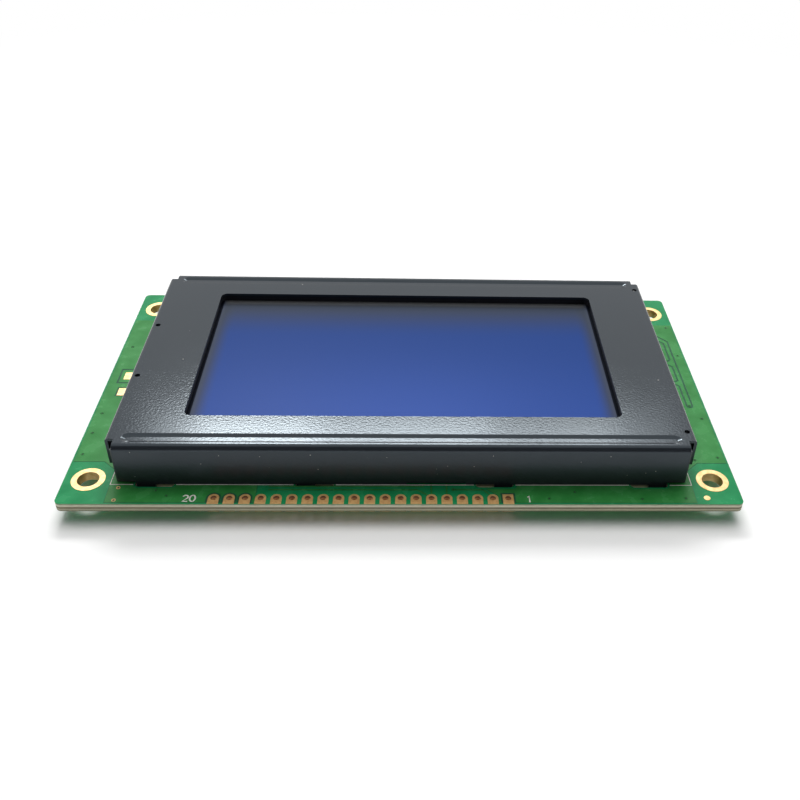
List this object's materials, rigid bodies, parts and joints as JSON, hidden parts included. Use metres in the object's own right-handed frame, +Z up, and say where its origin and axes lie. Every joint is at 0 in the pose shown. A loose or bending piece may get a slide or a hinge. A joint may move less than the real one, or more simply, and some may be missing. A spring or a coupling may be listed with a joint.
{
  "type": "graphic lcd module",
  "caption": "Graphic display module: green circuit board with a black folded steel bezel, blue display window, header pads along one edge and plated corner mounting holes.",
  "frame": {"origin": "under the centre of the circuit board, level with the tips of the bezel's twisted tabs", "axes": "+X along the header row towards its first pad, +Y away from the header row, +Z up out of the display's face"},
  "size_m": [0.113, 0.065, 0.012],
  "materials": {
    "board": "green solder mask over glass-fibre laminate, satin",
    "land_plating": "pale gold plating",
    "header_plating": "warm gold-brown plating",
    "bezel_lacquer": "black lacquer with a fine grain, satin",
    "gasket_foam": "matt black",
    "display_face": "blue display seen through a smooth polariser",
    "cell_glass": "clear",
    "seal_epoxy": "cured epoxy",
    "rear_film": "smooth film",
    "contact_rubber": "layered conducting rubber",
    "frame_plastic": "moulded dark grey",
    "white_film": "milky film",
    "guide_acrylic": "clear acrylic",
    "led_board": "thin laminate",
    "led_resin": "phosphor resin",
    "tinned_metal": "tinned, bright",
    "blob_epoxy": "poured black epoxy",
    "chip_plastic": "moulded black",
    "resistor_body": "black glaze",
    "capacitor_body": "tan ceramic",
    "moulded_case": "moulded ochre"
  },
  "bodies": {
    "root": {"circuit_board": "board", "mounting_lands": "land_plating", "first_header_land": "header_plating", "header_lands": "header_plating", "bare_pads": "land_plating", "bezel": "bezel_lacquer", "window_gasket": "gasket_foam", "front_polariser": "display_face", "front_glass": "cell_glass", "cell_seal": "seal_epoxy", "rear_glass": "cell_glass", "rear_polariser": "rear_film", "contact_strip_front": "contact_rubber", "contact_strip_back": "contact_rubber", "backlight_frame": "frame_plastic", "diffuser_film": "white_film", "light_guide": "guide_acrylic", "reflector_film": "white_film", "led_board_left": "led_board", "led_board_right": "led_board", "led_chips": "led_resin", "backlight_pins": "tinned_metal", "pin_solder": "tinned_metal", "driver_blob_left": "blob_epoxy", "driver_blob_middle": "blob_epoxy", "driver_blob_right": "blob_epoxy", "amplifier_body": "chip_plastic", "amplifier_leads": "tinned_metal", "pump_body": "chip_plastic", "pump_leads": "tinned_metal", "chip_resistors": "resistor_body", "resistor_caps": "tinned_metal", "chip_capacitors": "capacitor_body", "capacitor_caps": "tinned_metal", "moulded_capacitors": "moulded_case", "moulded_capacitor_leads": "tinned_metal"}
  },
  "joints": []
}
